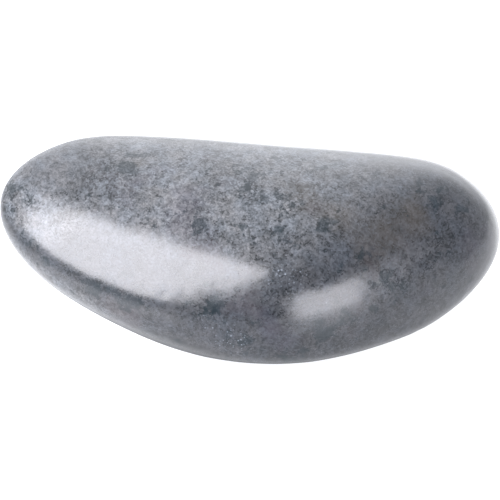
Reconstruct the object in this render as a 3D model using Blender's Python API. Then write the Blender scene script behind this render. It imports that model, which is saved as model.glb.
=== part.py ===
"""A river pebble: one piece of dark, fine-grained stone, worn smooth by water.

The pebble is a broken block whose faces and edges were rounded together. Each worn face is given by
the way it looks and by its distance from the middle of the stone, and one wear exponent says how
far their edges have melted into each other. The size is real, in metres once it is scaled by MM.
The stone lies on a small flat on its underside, with its length along X and its front towards -Y.
"""

import math

import bmesh
import bpy
import numpy as np

MM = 0.001

# The round body that the worn faces are cut into: half its length, width and height, in mm.
BODY_HALF_SIZES = (86.0, 28.0, 18.5)

# How sharp the worn edges are: 2 melts everything into an ellipsoid, 30 leaves a cut block.
WEAR_EXPONENT = 12.0

# Each worn face: degrees round from +X, degrees up, and millimetres from the middle.
WORN_FACES = {
    "top": (95, 72, 15.5),
    "underside": (90, -90, 11.0),
    "front_left_shoulder": (-115, 30, 34.5),
    "front_right_shoulder": (-48, 46, 23.5),
    "front_nose": (-70, 5, 28.0),
    "front_left": (-115, -40, 26.0),
    "front_right": (-45, 0, 27.0),
    "front_under": (-65, -65, 15.8),
    "left_end": (-145, -25, 41.0),
    "right_end": (-32, -5, 38.5),
    "right_brow": (10, 8, 35.0),
    "right_shoulder": (54, 40, 23.7),
    "back": (90, -5, 18.0),
    "back_brow": (95, 15, 16.0),
    "back_left_rim": (115, 0, 20.0),
    "back_right_rim": (70, 5, 23.5),
    "back_shoulder": (96, 35, 12.2),
    "back_left": (150, -10, 31.5),
    "back_left_shoulder": (130, 15, 25.3),
    "back_right": (50, 15, 33.5),
    "under_left": (-170, -45, 30.5),
    "under_right": (-5, -45, 27.0),
    "under_back": (90, -40, 20.0),
    "under_back_left": (145, -45, 22.5),
    "under_back_right": (45, -45, 24.0),
    "belly_left": (180, -70, 19.0),
    "belly_right": (0, -70, 17.0),
    "belly_back": (90, -70, 14.0),
}

RESTING_CUT = 0.25  # how much the stone is worn flat where it lies, in mm
FACETS_PER_EDGE = 24  # squares along each edge of the cube that the surface starts as
FACET_SPREAD = (39.0, 25.0, 14.0)  # the facets are spread as on a ball stretched to these, in mm
SHORTEST_EDGE = 0.25  # edges that the cut leaves shorter than this are closed up, in mm

STONE_GREY = (0.085, 0.088, 0.098, 1.0)


def direction(round_from_x, up):
    """The unit vector that looks so many degrees round from +X and so many degrees up."""
    turn, rise = math.radians(round_from_x), math.radians(up)
    return np.array([math.cos(turn) * math.cos(rise), math.sin(turn) * math.cos(rise), math.sin(rise)])


def worn_radius(ways):
    """How far the stone reaches from its middle along each of these unit vectors, in mm.

    A face at distance d lets a ray out at d / cos(angle to the face). The power sum with the wear
    exponent takes the nearest face of all, with its edges rounded.
    """
    body = np.sqrt(((ways / np.array(BODY_HALF_SIZES)) ** 2).sum(axis=1))
    total = body**WEAR_EXPONENT
    for round_from_x, up, distance in WORN_FACES.values():
        towards = np.maximum(ways @ direction(round_from_x, up), 0.0)
        total += (towards / distance) ** WEAR_EXPONENT
    return total ** (-1.0 / WEAR_EXPONENT)


def quad_sphere():
    """A cube cut into squares, whose vertices are then spread evenly over a ball."""
    mesh = bmesh.new()
    bmesh.ops.create_cube(mesh, size=2.0)
    bmesh.ops.subdivide_edges(mesh, edges=mesh.edges[:], cuts=FACETS_PER_EDGE - 1, use_grid_fill=True)
    for vertex in mesh.verts:
        for axis in range(3):
            vertex.co[axis] = math.tan(vertex.co[axis] * math.pi / 4)
        vertex.co.normalize()
    return mesh


def wear_to_shape(mesh):
    """Moves the ball's vertices out to the stone's surface, with more of them along its length."""
    ball = np.array([vertex.co[:] for vertex in mesh.verts])
    ways = ball * np.array(FACET_SPREAD)
    ways /= np.linalg.norm(ways, axis=1, keepdims=True)
    surface = ways * worn_radius(ways)[:, None]
    for vertex, place in zip(mesh.verts, surface):
        vertex.co = place


def wear_resting_flat(mesh):
    """Cuts the underside flat where the stone lies, and closes the cut with one face."""
    lowest = min(vertex.co.z for vertex in mesh.verts)
    cut = bmesh.ops.bisect_plane(
        mesh,
        geom=mesh.verts[:] + mesh.edges[:] + mesh.faces[:],
        plane_co=(0.0, 0.0, lowest + RESTING_CUT),
        plane_no=(0.0, 0.0, -1.0),
        clear_outer=True,
    )
    rim = [item for item in cut["geom_cut"] if isinstance(item, bmesh.types.BMEdge)]
    bmesh.ops.contextual_create(mesh, geom=rim)
    bmesh.ops.remove_doubles(mesh, verts=mesh.verts[:], dist=SHORTEST_EDGE)
    bmesh.ops.recalc_face_normals(mesh, faces=mesh.faces[:])


def set_on_origin(mesh):
    """Puts the middle of the stone's length and width over the origin, and its flat at height 0."""
    places = np.array([vertex.co[:] for vertex in mesh.verts])
    low, high = places.min(axis=0), places.max(axis=0)
    middle = (low + high) / 2
    bmesh.ops.translate(mesh, verts=mesh.verts[:], vec=(-middle[0], -middle[1], -low[2]))


def stone_material():
    material = bpy.data.materials.new("dark_grey_stone")
    material.use_nodes = True
    shader = material.node_tree.nodes["Principled BSDF"]
    shader.inputs["Base Color"].default_value = STONE_GREY
    shader.inputs["Roughness"].default_value = 0.3
    shader.inputs["Metallic"].default_value = 0.0
    return material


def make_pebble():
    shape = quad_sphere()
    wear_to_shape(shape)
    wear_resting_flat(shape)
    set_on_origin(shape)
    bmesh.ops.scale(shape, verts=shape.verts[:], vec=(MM, MM, MM))
    mesh = bpy.data.meshes.new("pebble")
    shape.to_mesh(mesh)
    shape.free()
    mesh.shade_smooth()
    mesh.materials.append(stone_material())
    pebble = bpy.data.objects.new("pebble", mesh)
    bpy.context.scene.collection.objects.link(pebble)
    return pebble


def clear_scene():
    for item in list(bpy.data.objects):
        bpy.data.objects.remove(item)


clear_scene()
make_pebble()
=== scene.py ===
import math

import bpy
import numpy as np
from mathutils import Matrix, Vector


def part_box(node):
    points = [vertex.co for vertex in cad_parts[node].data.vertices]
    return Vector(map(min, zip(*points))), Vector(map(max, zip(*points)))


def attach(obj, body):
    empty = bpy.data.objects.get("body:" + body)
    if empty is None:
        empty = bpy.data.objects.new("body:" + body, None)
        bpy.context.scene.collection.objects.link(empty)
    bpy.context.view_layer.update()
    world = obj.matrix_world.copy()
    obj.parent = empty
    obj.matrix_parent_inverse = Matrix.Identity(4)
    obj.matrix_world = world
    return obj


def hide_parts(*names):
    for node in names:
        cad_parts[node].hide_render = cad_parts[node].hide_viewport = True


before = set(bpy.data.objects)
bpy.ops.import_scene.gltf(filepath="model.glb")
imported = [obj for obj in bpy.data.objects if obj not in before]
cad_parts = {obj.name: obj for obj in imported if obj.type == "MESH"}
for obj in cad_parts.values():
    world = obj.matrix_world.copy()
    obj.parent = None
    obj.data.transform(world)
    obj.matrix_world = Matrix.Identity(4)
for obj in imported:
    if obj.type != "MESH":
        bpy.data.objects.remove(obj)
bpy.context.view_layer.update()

mm = 0.001


# small helpers

def hexToLinear(code):
    # sRGB hex to the linear colour that the shader wants, with alpha 1
    parts = [int(code[i:i + 2], 16) / 255 for i in (1, 3, 5)]
    return [p / 12.92 if p <= 0.04045 else ((p + 0.055) / 1.055) ** 2.4 for p in parts] + [1.0]


def addNode(tree, kind, inputs=None, settings=None):
    # one node, its settings, and its inputs: a socket is linked, anything else is set
    node = tree.nodes.new(kind)
    for name, value in (settings or {}).items():
        setattr(node, name, value)
    for name, value in (inputs or {}).items():
        if isinstance(value, bpy.types.NodeSocket):
            tree.links.new(value, node.inputs[name])
        else:
            node.inputs[name].default_value = value
    return node


def unitTowards(roundFromX, up):
    # the direction so many degrees round from +X and so many degrees up
    turn, rise = math.radians(roundFromX), math.radians(up)
    return np.array([math.cos(turn) * math.cos(rise), math.sin(turn) * math.cos(rise), math.sin(rise)])


# the pebble

pebbleLook = {
    "bodyHalfSizes": (86.0, 28.0, 18.5),   # mm, the round body that the faces are worn into
    "wearExponent": 12.0,                  # 2 is an ellipsoid, 30 a cut block
    "wornFaces": {                         # degrees round from +X, degrees up, mm from the middle
        "top": (95, 72, 15.5),
        "underside": (90, -90, 11.0),
        "frontLeftShoulder": (-115, 30, 34.5),
        "frontRightShoulder": (-48, 46, 23.5),
        "frontNose": (-70, 5, 28.0),
        "frontLeft": (-115, -40, 26.0),
        "frontRight": (-45, 0, 27.0),
        "frontUnder": (-65, -65, 15.8),
        "leftEnd": (-145, -25, 41.0),
        "rightEnd": (-32, -5, 38.5),
        "rightBrow": (10, 8, 35.0),
        "rightShoulder": (54, 40, 23.7),
        "back": (90, -5, 18.0),
        "backBrow": (95, 15, 16.0),
        "backLeftRim": (115, 0, 20.0),
        "backRightRim": (70, 5, 23.5),
        "backShoulder": (96, 35, 12.2),
        "backLeft": (150, -10, 31.5),
        "backLeftShoulder": (130, 15, 25.3),
        "backRight": (50, 15, 33.5),
        "underLeft": (-170, -45, 30.5),
        "underRight": (-5, -45, 27.0),
        "underBack": (90, -40, 20.0),
        "underBackLeft": (145, -45, 22.5),
        "underBackRight": (45, -45, 24.0),
        "bellyLeft": (180, -70, 19.0),
        "bellyRight": (0, -70, 17.0),
        "bellyBack": (90, -70, 14.0),
    },
    "restingCut": 0.25,                    # mm worn off flat where it lies
    "restingSoftness": 0.05,               # mm over which that flat rounds into the belly
    "squaresPerSide": 118,                 # squares along each edge of the cube that becomes the surface
    "spread": (39.0, 25.0, 14.0),          # the squares are spread as on a ball stretched to these
    "swells": [                            # wavelength in mm from and to, height in mm, how many, seed
        (16.0, 40.0, 0.060, 24, 3),
        (5.0, 12.0, 0.012, 40, 5),
        (1.3, 3.0, 0.0035, 60, 7),
    ],
    "pits": {"howMany": 170, "radius": (0.28, 0.75), "depthShare": 0.055, "seed": 11},
}


def wornRadius(ways):
    # How far the stone reaches along each unit vector: every worn face lets a ray out at its distance
    # over the cosine to it, and a power sum takes the nearest face with its edges rounded.
    wear = pebbleLook["wearExponent"]
    total = np.sqrt(((ways / np.array(pebbleLook["bodyHalfSizes"])) ** 2).sum(axis=1)) ** wear
    for roundFromX, up, distance in pebbleLook["wornFaces"].values():
        total += (np.maximum(ways @ unitTowards(roundFromX, up), 0.0) / distance) ** wear
    return total ** (-1.0 / wear)


def relief(places):
    # Height over the worn shape, in mm: long swells, short ones and a fine orange peel, each a sum of
    # plane waves in random directions.
    height = np.zeros(len(places))
    for shortest, longest, size, howMany, seed in pebbleLook["swells"]:
        dice = np.random.default_rng(seed)
        ways = dice.normal(size=(howMany, 3))
        ways /= np.linalg.norm(ways, axis=1, keepdims=True)
        waves = ways * (2 * math.pi / dice.uniform(shortest, longest, size=(howMany, 1)))
        phases = dice.uniform(0, 2 * math.pi, size=howMany)
        height += size * math.sqrt(2 / howMany) * np.cos(places @ waves.T + phases).sum(axis=1)
    return height


def pitDepth(places, centres, pits, dice):
    # Each knock mark is a round dimple, a bell curve of the distance from its centre.
    depth = np.zeros(len(places))
    for centre in centres:
        radius = dice.uniform(*pits["radius"])
        far = ((places - centre) ** 2).sum(axis=1) / radius ** 2
        depth += pits["depthShare"] * radius * np.exp(-far)
    return depth


def sideOfBall(axis, sign, squares):
    # One side of a cube as a grid of u and v, both from -1 to 1, whose tangents spread it evenly over
    # a ball: the side's own axis is +1 or -1 and the other two are tan(45 deg * u) and tan(45 deg * v).
    steps = np.tan(np.linspace(-1, 1, squares + 1) * math.pi / 4)
    u, v = np.meshgrid(steps, steps, indexing="ij")
    grid = np.zeros(u.shape + (3,))
    grid[..., axis] = sign
    grid[..., (axis + 1) % 3] = u
    grid[..., (axis + 2) % 3] = v
    number = np.arange(u.size).reshape(u.shape)
    quads = np.stack([number[:-1, :-1], number[1:, :-1], number[1:, 1:], number[:-1, 1:]], axis=-1).reshape(-1, 4)
    return grid.reshape(-1, 3), quads if sign > 0 else quads[:, ::-1]


def wholeBall(squares):
    # The six sides together, with the points that they share kept once.
    points, faces, start = [], [], 0
    for axis in range(3):
        for sign in (1, -1):
            sidePoints, sideFaces = sideOfBall(axis, sign, squares)
            points.append(sidePoints)
            faces.append(sideFaces + start)
            start += len(sidePoints)
    points, faces = np.concatenate(points), np.concatenate(faces)
    _, first, which = np.unique(np.round(points, 6), axis=0, return_index=True, return_inverse=True)
    points = points[first]
    return points / np.linalg.norm(points, axis=1, keepdims=True), which.reshape(-1)[faces]


def pebbleSurface():
    # Ball, stretched to spread its squares, pushed out to the worn radius, with relief and pits, and
    # rubbed flat where it lies. Returned in metres on the frame's own place.
    ball, faces = wholeBall(pebbleLook["squaresPerSide"])
    ways = ball * np.array(pebbleLook["spread"])
    ways /= np.linalg.norm(ways, axis=1, keepdims=True)
    smooth = ways * wornRadius(ways)[:, None]
    pits = pebbleLook["pits"]
    dice = np.random.default_rng(pits["seed"])
    knocks = dice.normal(size=(pits["howMany"], 3)) * np.array(pebbleLook["spread"])
    knocks /= np.linalg.norm(knocks, axis=1, keepdims=True)
    knocks *= wornRadius(knocks)[:, None]
    places = smooth + ways * (relief(smooth) - pitDepth(smooth, knocks, pits, dice))[:, None]
    floorHeight = smooth[:, 2].min() + pebbleLook["restingCut"]
    soft = pebbleLook["restingSoftness"]
    places[:, 2] = floorHeight + soft * np.logaddexp(0.0, (places[:, 2] - floorHeight) / soft)
    low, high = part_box("pebble")
    middle = (smooth.min(axis=0) + smooth.max(axis=0)) / 2
    shift = np.array([-middle[0], -middle[1], -floorHeight])
    shift += np.array([(low[0] + high[0]) / 2, (low[1] + high[1]) / 2, low[2]]) / mm
    print("pebble surface: middle of the shape lies at mm", np.round(shift, 2))
    return (places + shift) * mm, faces


def makeMesh(name, points, faces):
    mesh = bpy.data.meshes.new(name)
    mesh.vertices.add(len(points))
    mesh.vertices.foreach_set("co", points.astype(np.float32).ravel())
    mesh.loops.add(faces.size)
    mesh.loops.foreach_set("vertex_index", faces.astype(np.int32).ravel())
    mesh.polygons.add(len(faces))
    mesh.polygons.foreach_set("loop_start", np.arange(0, faces.size, 4, dtype=np.int32))
    mesh.polygons.foreach_set("use_smooth", np.ones(len(faces), dtype=bool))
    mesh.update(calc_edges=True)
    mesh.validate()
    made = bpy.data.objects.new(name, mesh)
    bpy.context.scene.collection.objects.link(made)
    return made


stoneMarks = {                   # x, y, z in mm where each is thickest, and its radius
    "clots": [
        (-1, -1, 28, 2.0), (1, -1, 28, 1.6), (-2, -4, 28, 1.2), (0, -5, 28, 1.9), (3, -5, 28, 1.9),
        (6, -5, 28, 1.8), (3, 4, 27, 1.6), (9, 2, 28, 1.6), (12, 4, 27, 1.8), (-6, -11, 26, 1.6),
        (1, -11, 26, 1.4), (7, -10, 26, 1.5), (-18, 0, 27, 1.5), (-19, -3, 27, 1.8), (-2, -20, 17, 2.9),
        (15, -18, 13, 2.9), (11, -20, 9, 2.1), (4, -21, 12, 2.3), (22, -13, 16, 1.8), (18, -16, 15, 2.0),
        (32, 3, 23, 1.6), (20, -9, 22, 2.2), (13, -8, 26, 1.8), (28, 3, 26, 2.4), (-36, -7, 23, 1.3),
        (-32, -9, 23, 1.5), (-32, -13, 19, 1.4), (-20, -19, 16, 2.6), (-18, -19, 17, 2.3), (-14, -20, 16, 2.0),
        (-29, -16, 17, 1.7), (24, -10, 17, 2.4), (22, -12, 18, 2.0),
    ],
    "rust": [(16, -6, 26, 4.5), (22, -6, 24, 4.5), (-17, -2, 27, 2.2), (26, -1, 25, 5.0), (9, -4, 27, 3.0)],
    "violet": [(-9, -8, 26, 5.0), (35, 0, 16, 5.0), (-14, -4, 27, 3.5), (31, -7, 17, 4.5), (8, -20, 14, 3.5)],
    "sparkle": [(9, -16, 22, 3.0), (2, -22, 12, 2.6), (-2, -22, 14, 2.4)],
    "paintedLightUp": (0.70, 0.95),     # how far up the surface looks where the painted light on the top fades in
    "rubbedAlong": (3.0, 33.0),   # x in mm over which it fades out towards the blunter end
    "paintedLightEnd": (20.0, 36.0, 0.38),  # -x in mm over which it reaches further down, and how much further
    "paintedCornerShade": 0.45,         # how much less of the painted light shows on that end's top, painted shade
    "paintedFlankLight": (6.0, 26.0, 0.85),  # -x in mm over which the lower flank is painted pale too, painted light, and how much
    "flankDown": (-0.30, 0.10),   # how far down the flank looks where that fades in
    "bellyDown": (0.30, 0.75),    # how far down it looks where the unpolished belly fades in
}


def smoothStep(begin, end, value):
    share = np.clip((value - begin) / (end - begin), 0.0, 1.0)
    return share * share * (3 - 2 * share)


def addMarks(stone):
    # Each mark fades out from its centre as a bell curve of the distance, and the strongest one counts.
    mesh = stone.data
    places, looks = np.zeros(len(mesh.vertices) * 3), np.zeros(len(mesh.vertices) * 3)
    mesh.vertices.foreach_get("co", places)
    mesh.vertices.foreach_get("normal", looks)
    places, looks = places.reshape(-1, 3) / mm, looks.reshape(-1, 3)
    strengths = {kind: np.zeros(len(places)) for kind in ("clots", "rust", "violet", "sparkle")}
    for kind, strength in strengths.items():
        for x, y, z, radius in stoneMarks[kind]:
            far = ((places - (x, y, z)) ** 2).sum(axis=1) / radius ** 2
            np.maximum(strength, np.exp(-far), out=strength)
    # Painted light: the top is given a paler copy of the grain by how far up it looks, fading out towards +x and
    # reaching further down at the blunter end.
    upward = looks[:, 2] + stoneMarks["paintedLightEnd"][2] * smoothStep(*stoneMarks["paintedLightEnd"][:2], -places[:, 0])
    strengths["rubbed"] = smoothStep(*stoneMarks["paintedLightUp"], upward) * (1 - smoothStep(*stoneMarks["rubbedAlong"], places[:, 0]))
    # painted shade on the blunter end's top
    strengths["rubbed"] *= 1 - stoneMarks["paintedCornerShade"] * smoothStep(16, 30, -places[:, 0]) * smoothStep(0.8, 0.95, looks[:, 2])
    # painted light on the blunter end's lower flank, a pale band standing in for light reflected there
    flank = stoneMarks["paintedFlankLight"][2] * smoothStep(*stoneMarks["paintedFlankLight"][:2], -places[:, 0])
    strengths["rubbed"] = np.maximum(strengths["rubbed"], flank * smoothStep(*stoneMarks["flankDown"], -looks[:, 2]))
    strengths["belly"] = smoothStep(*stoneMarks["bellyDown"], -looks[:, 2])
    for kind, strength in strengths.items():
        mesh.attributes.new(kind, "FLOAT", "POINT").data.foreach_set("value", strength.astype(np.float32))


basaltLook = {
    "deepGrey": ("#070c10", "#02070a"),  # augite and glass, one for the flanks and one for the top, where with the paler feldspar it paints light
    "paleGrey": ("#3a3c41", "#636569"),  # feldspar laths, cut across, likewise
    "clotGrey": "#071921",      # olivine, nearly black and a little blue
    "warmDrift": "#fcf8f4",     # the stone's hue wanders a little between these two
    "coolDrift": "#f2f7fb",
    "driftMm": 4.0,
    "warmTint": "#332b1e",      # a breath of rust, where iron has weathered
    "violetTint": "#322d3a",
    "glint": "#7d828a",         # a clean crystal face that shows white
    "grainMm": 0.25,            # real grains are 0.2 to 0.5 mm
    "crystalMm": 0.6,           # larger crystals among them
    "cloudMm": 1.5,             # paler and darker clouds, where one kind of grain gathers
    "patchMm": 7.0,
    "shares": {"grain": 0.50, "crystal": 0.27, "cloud": 1.3, "patch": 0.75},  # what each adds to the mottling
    "middle": 0.48,             # the mottling's mean
    "clotMm": 2.2,
    "markLift": 0.24,           # how much a mark lifts that noise
    "clotShare": (0.61, 0.73),  # the clot noise at which a clot begins and is full
    "clotDepth": 0.22,          # how much of the mottling a full clot takes away
    "clotFill": 0.45,           # how much of the grain it hides
    "speckMm": 2.6,             # how far apart the small black specks are
    "speckRadius": 0.08,        # of that distance
    "sparkle": "#646a72",       # small pale crystals that crowd in a few places
    "sparkleMm": 0.55,
    "sparkleRadius": 0.30,
    "glintMm": 6.0,
    "glintRadius": 0.030,
    "tintMm": 12.0,
    "roughness": (0.15, 0.25),  # dark grains take a better polish than pale ones
    "bellyRoughness": 0.75,     # the belly has lost its polish
    "ior": 1.55,
    "grainReliefMm": 0.005,
}


def waterWornBasalt():
    # Basalt, a fine-grained dark lava rock, rolled smooth in a river and lightly oiled: the eye sees pale
    # and dark grains packed together, dark clots, faint rusty and violet patches, and a clear gloss that
    # the grains fray at its edges.
    material = bpy.data.materials.new("waterWornBasalt")
    material.use_nodes = True
    tree = material.node_tree
    shader = tree.nodes["Principled BSDF"]
    look = basaltLook
    shader.inputs["IOR"].default_value = look["ior"]
    place = addNode(tree, "ShaderNodeTexCoord")
    inMm = addNode(tree, "ShaderNodeMapping", {"Vector": place.outputs["Object"], "Scale": (1000, 1000, 1000)})
    at = inMm.outputs["Vector"]

    # mottling: grains and crystals are Voronoi cells, each with a brightness of its own, and
    # clouds and patches are noise
    def cells(apart, channel):
        pattern = addNode(tree, "ShaderNodeTexVoronoi", {"Vector": at, "Scale": 1 / apart})
        return addNode(tree, "ShaderNodeSeparateColor", {"Color": pattern.outputs["Color"]}).outputs[channel]

    def noise(apart, detail, roughness):
        return addNode(tree, "ShaderNodeTexNoise", {"Vector": at, "Scale": 1 / apart, "Detail": detail, "Roughness": roughness}).outputs["Fac"]

    layers = {
        "grain": cells(look["grainMm"], "Red"),
        "crystal": cells(look["crystalMm"], "Green"),
        "cloud": noise(look["cloudMm"], 4.0, 0.7),
        "patch": noise(look["patchMm"], 2.0, 0.5),
    }
    mottling = look["middle"] - 0.5 * sum(look["shares"].values())
    for kind, layer in layers.items():
        mottling = addNode(tree, "ShaderNodeMath", {0: layer, 1: look["shares"][kind], 2: mottling}, {"operation": "MULTIPLY_ADD"}).outputs["Value"]

    # how far inside a marked spot, or inside a cloud of noise where there is none, frayed by the grains
    def inMarks(kind, apart, begins, full):
        marks = addNode(tree, "ShaderNodeAttribute", None, {"attribute_name": kind})
        frayed = addNode(tree, "ShaderNodeMath", {0: mottling, 1: -0.10, 2: noise(apart, 3.0, 0.65)}, {"operation": "MULTIPLY_ADD"})
        lifted = addNode(tree, "ShaderNodeMath", {0: marks.outputs["Fac"], 1: look["markLift"], 2: frayed.outputs["Value"]}, {"operation": "MULTIPLY_ADD"})
        return addNode(tree, "ShaderNodeMapRange", {"Value": lifted.outputs["Value"], "From Min": begins - 0.05, "From Max": full - 0.05}).outputs["Result"]

    inClots = inMarks("clots", look["clotMm"], *look["clotShare"])
    inRust = inMarks("rust", look["tintMm"], 0.60, 0.80)
    inViolet = inMarks("violet", look["tintMm"], 0.60, 0.80)

    # colours
    def mixed(share, under, over, settings=None):
        return addNode(tree, "ShaderNodeMix", {"Factor": share, "A": under, "B": over}, dict({"data_type": "RGBA"}, **(settings or {}))).outputs["Result"]

    # painted light: where this attribute is set, the top and the blunter end's lower flank get the paler, more
    # contrasty copy of the greys
    rubbed = addNode(tree, "ShaderNodeAttribute", None, {"attribute_name": "rubbed"}).outputs["Fac"]
    deepGrey, paleGrey = [mixed(rubbed, hexToLinear(look[grey][0]), hexToLinear(look[grey][1])) for grey in ("deepGrey", "paleGrey")]
    paleness = addNode(tree, "ShaderNodeMath", {0: inClots, 1: -look["clotDepth"], 2: mottling}, {"operation": "MULTIPLY_ADD", "use_clamp": True}).outputs["Value"]
    speckle = mixed(paleness, deepGrey, paleGrey)
    wander = addNode(tree, "ShaderNodeMapRange", {"Value": noise(look["driftMm"], 3.0, 0.6), "From Min": 0.38, "From Max": 0.62}).outputs["Result"]
    drift = mixed(wander, hexToLinear(look["warmDrift"]), hexToLinear(look["coolDrift"]))
    drifted = mixed(1.0, speckle, drift, {"blend_type": "MULTIPLY"})

    # tints and small spots
    def weakened(share, most):
        return addNode(tree, "ShaderNodeMath", {0: share, 1: most}, {"operation": "MULTIPLY"}).outputs["Value"]

    def spots(apart, radius):
        pattern = addNode(tree, "ShaderNodeTexVoronoi", {"Vector": at, "Scale": 1 / apart})
        inside = addNode(tree, "ShaderNodeMapRange", {"Value": pattern.outputs["Distance"], "From Min": radius, "From Max": radius * 0.5}).outputs["Result"]
        strength = addNode(tree, "ShaderNodeSeparateColor", {"Color": pattern.outputs["Color"]}).outputs["Red"]
        return addNode(tree, "ShaderNodeMath", {0: inside, 1: strength}, {"operation": "MULTIPLY"}).outputs["Value"]

    rusty = mixed(weakened(inRust, 0.30), drifted, hexToLinear(look["warmTint"]))
    violet = mixed(weakened(inViolet, 0.35), rusty, hexToLinear(look["violetTint"]))
    clotted = mixed(weakened(inClots, look["clotFill"]), violet, hexToLinear(look["clotGrey"]))
    specked = mixed(spots(look["speckMm"], look["speckRadius"]), clotted, hexToLinear(look["clotGrey"]))
    sparkle = addNode(tree, "ShaderNodeAttribute", None, {"attribute_name": "sparkle"}).outputs["Fac"]
    together = addNode(tree, "ShaderNodeMath", {0: spots(look["sparkleMm"], look["sparkleRadius"]), 1: sparkle}, {"operation": "MULTIPLY"}).outputs["Value"]
    sparkling = mixed(together, specked, hexToLinear(look["sparkle"]))
    coloured = mixed(spots(look["glintMm"], look["glintRadius"]), sparkling, hexToLinear(look["glint"]))
    tree.links.new(coloured, shader.inputs["Base Color"])
    polish = addNode(tree, "ShaderNodeMapRange", {"Value": mottling, "To Min": look["roughness"][0], "To Max": look["roughness"][1]})
    belly = addNode(tree, "ShaderNodeAttribute", None, {"attribute_name": "belly"}).outputs["Fac"]
    dulled = addNode(tree, "ShaderNodeMix", {"Factor": belly, "A": polish.outputs["Result"], "B": look["bellyRoughness"]})
    tree.links.new(dulled.outputs["Result"], shader.inputs["Roughness"])

    # harder grains stand a few thousandths of a millimetre proud
    relief = addNode(tree, "ShaderNodeBump", {"Height": mottling, "Strength": 1.0, "Distance": look["grainReliefMm"] * mm})
    tree.links.new(relief.outputs["Normal"], shader.inputs["Normal"])
    return material


points, faces = pebbleSurface()
pebbleSkin = makeMesh("pebble_skin", points, faces)
addMarks(pebbleSkin)
pebbleSkin.data.materials.append(waterWornBasalt())
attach(pebbleSkin, "root")
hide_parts("pebble")
print("pebble made:", len(faces) * 2, "triangles")


# floor, lights and camera

studioLook = {
    "floorSize": 6.0,             # m
    "floorColour": "#6f7072",     # opal acrylic lit from below, which gives most of its brightness
    "floorGlowColour": "#fbfcff",
    "floorGlow": 0.62,            # far off
    "floorPools": [               # painted pools of glow close by, which brighten the stone's rims in reflection and fill its shadow on the floor: x and y, how far it is full and where it ends, in m, and how much
        (0.000, 0.000, 0.070, 0.140, 0.22),
        (-0.066, -0.008, 0.000, 0.072, 1.45),
        (0.070, 0.030, 0.000, 0.060, 1.0),
        (0.000, 0.060, 0.000, 0.060, 0.7),
        (0.036, -0.020, 0.000, 0.045, 0.15),
        (0.010, 0.165, 0.000, 0.070, 0.45),
    ],
    "floorRoughness": 0.2,
    "tentColour": "#f7f9ff",      # the white tent round the stone, a little cool
    "tentGlows": [                # where a side of it is brightest, how bright, and how fast it falls off
        ((180, 25), 2.0, 2.0),
        ((75, 0), 2.3, 2.0),
        ((78, 0), 0.8, 14.0),
    ],
    "lightColour": "#faf9ff",
    "lightDistance": 0.6,         # m from the stone
    "leftBox": {"towards": (-123, 35), "halfSize": (0.36, 0.48), "roll": -5, "radiance": 13.2},
    "rightBox": {"towards": (-49, 9), "halfSize": (0.34, 0.34), "roll": -2, "radiance": 8.8},
}


def makeFloor():
    half = studioLook["floorSize"] / 2
    corners = np.array([(-half, -half, 0), (half, -half, 0), (half, half, 0), (-half, half, 0)])
    floor = makeMesh("studio_floor", corners, np.array([[0, 1, 2, 3]]))
    acrylic = bpy.data.materials.new("glowingAcrylic")
    acrylic.use_nodes = True
    shader = acrylic.node_tree.nodes["Principled BSDF"]
    shader.inputs["Base Color"].default_value = hexToLinear(studioLook["floorColour"])
    shader.inputs["Roughness"].default_value = studioLook["floorRoughness"]
    shader.inputs["Emission Color"].default_value = hexToLinear(studioLook["floorGlowColour"])
    tree = acrylic.node_tree
    place, glow = addNode(tree, "ShaderNodeTexCoord").outputs["Object"], studioLook["floorGlow"]
    # painted pools of light in the floor's glow
    for x, y, full, ends, most in studioLook["floorPools"]:
        apart = addNode(tree, "ShaderNodeVectorMath", {0: place, 1: (x, y, 0)}, {"operation": "DISTANCE"}).outputs["Value"]
        pool = addNode(tree, "ShaderNodeMapRange", {"Value": apart, "From Min": ends, "From Max": full, "To Max": most}, {"interpolation_type": "SMOOTHSTEP"})
        glow = addNode(tree, "ShaderNodeMath", {0: pool.outputs["Result"], 1: glow}, {"operation": "ADD"}).outputs["Value"]
    tree.links.new(glow, shader.inputs["Emission Strength"])
    floor.data.materials.append(acrylic)
    return floor


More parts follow.
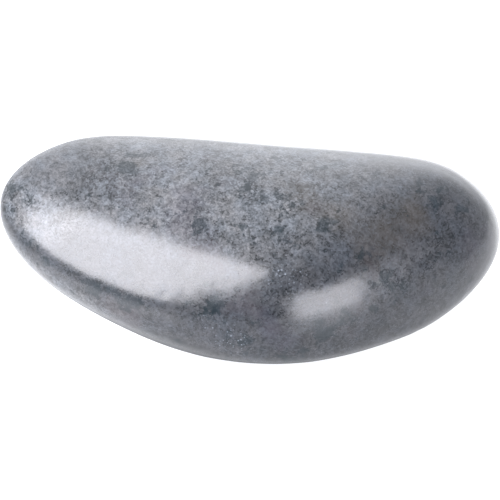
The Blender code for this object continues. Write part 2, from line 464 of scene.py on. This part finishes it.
def makeTent():
    # In the direction d each side of the tent, brightest towards u, has a radiance of its own times
    # ((1 + d.u) / 2) to the power of its falloff.
    world = bpy.data.worlds.new("whiteTent")
    bpy.context.scene.world = world
    world.use_nodes = True
    tree = world.node_tree
    away = addNode(tree, "ShaderNodeTexCoord").outputs["Generated"]
    total = 0.0
    for towards, radiance, falloff in studioLook["tentGlows"]:
        along = addNode(tree, "ShaderNodeVectorMath", {0: away, 1: tuple(unitTowards(*towards))}, {"operation": "DOT_PRODUCT"})
        share = addNode(tree, "ShaderNodeMath", {0: along.outputs["Value"], 1: 0.5, 2: 0.5}, {"operation": "MULTIPLY_ADD"})
        fading = addNode(tree, "ShaderNodeMath", {0: share.outputs["Value"], 1: falloff}, {"operation": "POWER"})
        total = addNode(tree, "ShaderNodeMath", {0: fading.outputs["Value"], 1: radiance, 2: total}, {"operation": "MULTIPLY_ADD"}).outputs["Value"]
    tree.links.new(total, tree.nodes["Background"].inputs["Strength"])
    tree.nodes["Background"].inputs["Color"].default_value = hexToLinear(studioLook["tentColour"])


def makeSoftbox(name, look, aim):
    # An area light that fills the given angle seen from the stone, turned to face it.
    away = unitTowards(*look["towards"])
    distance = studioLook["lightDistance"]
    light = bpy.data.lights.new(name, "AREA")
    light.shape = "RECTANGLE"
    light.color = hexToLinear(studioLook["lightColour"])[:3]
    light.size = 2 * look["halfSize"][0] * distance
    light.size_y = 2 * look["halfSize"][1] * distance
    light.energy = look["radiance"] * light.size * light.size_y * math.pi  # watts for this radiance
    box = bpy.data.objects.new(name, light)
    side = np.array([-math.sin(math.radians(look["towards"][0])), math.cos(math.radians(look["towards"][0])), 0.0])
    upward = np.cross(away, side)
    roll = math.radians(look["roll"])
    across = math.cos(roll) * side + math.sin(roll) * upward
    box.rotation_euler = Matrix(np.column_stack((across, np.cross(away, across), away)).tolist()).to_euler()
    box.location = aim + away * distance
    bpy.context.scene.collection.objects.link(box)
    return box


makeFloor()
stoneMiddle = np.array([0.0, 0.0, 0.0115])
makeSoftbox("left_softbox", studioLook["leftBox"], stoneMiddle)
makeSoftbox("right_softbox", studioLook["rightBox"], stoneMiddle)

makeTent()

cameraLook = {
    "azimuth": 12.0,           # degrees round from the front, towards +X
    "elevation": 45.0,
    "distance": 450.0,         # mm
    "lens": 200.0,
    "aim": (-1.2, 5.5, 4.4),   # mm
}


def makeCamera():
    look = cameraLook
    turn, rise = math.radians(look["azimuth"]), math.radians(look["elevation"])
    back = np.array([math.sin(turn) * math.cos(rise), -math.cos(turn) * math.cos(rise), math.sin(rise)])
    lens = bpy.data.cameras.new("product_camera")
    lens.lens = look["lens"]
    lens.sensor_width = 36.0
    camera = bpy.data.objects.new("product_camera", lens)
    camera.location = (np.array(look["aim"]) + back * look["distance"]) * mm
    camera.rotation_euler = (math.pi / 2 - rise, 0.0, turn)
    bpy.context.scene.collection.objects.link(camera)
    bpy.context.scene.camera = camera


makeCamera()
bpy.context.scene.view_settings.view_transform = "Standard"
print("studio ready")
